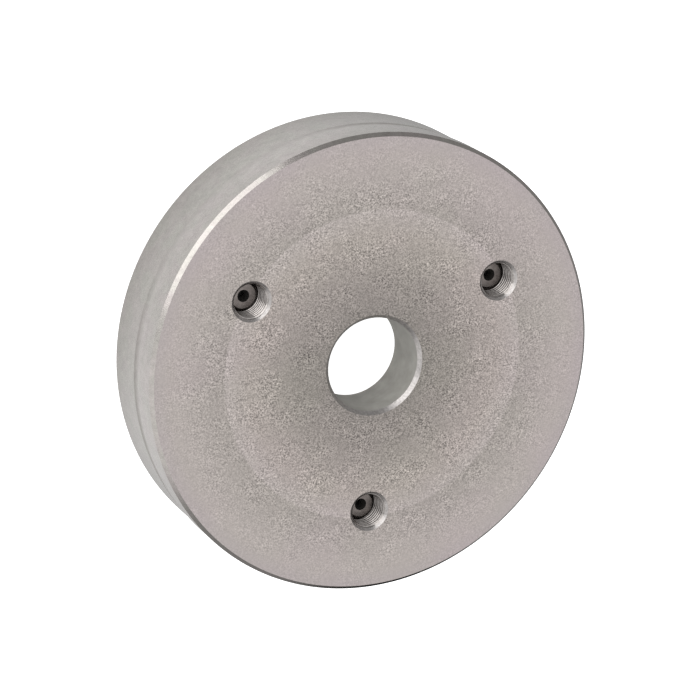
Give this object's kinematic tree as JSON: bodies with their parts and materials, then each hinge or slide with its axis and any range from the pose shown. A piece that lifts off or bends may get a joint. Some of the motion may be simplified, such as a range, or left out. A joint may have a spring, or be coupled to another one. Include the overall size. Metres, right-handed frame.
{
  "type": "chuck adapter plate",
  "caption": "Thick round lathe back plate with a plain chuck face, a through bore, a short taper socket behind and screwed-in cam-lock studs, each held by a locking screw.",
  "frame": {"origin": "on the plate's axis, in the rear face that seats on the spindle, at the centre of the stud circle", "axes": "+Z along the axis, out of the plain face that the chuck is fitted to; the studs reach down along -Z at 30, 150 and 270 degrees from +X"},
  "size_m": [0.127, 0.127, 0.055],
  "materials": {
    "plate_iron": "fine turned, bare grey iron",
    "stud_steel": "hardened, dull grey",
    "screw_steel": "black oxide"
  },
  "bodies": {
    "root": {"adapter_plate": "plate_iron", "cam_stud_1": "stud_steel", "cam_stud_2": "stud_steel", "cam_stud_3": "stud_steel", "lock_screw_1": "screw_steel", "lock_screw_2": "screw_steel", "lock_screw_3": "screw_steel"}
  },
  "joints": []
}
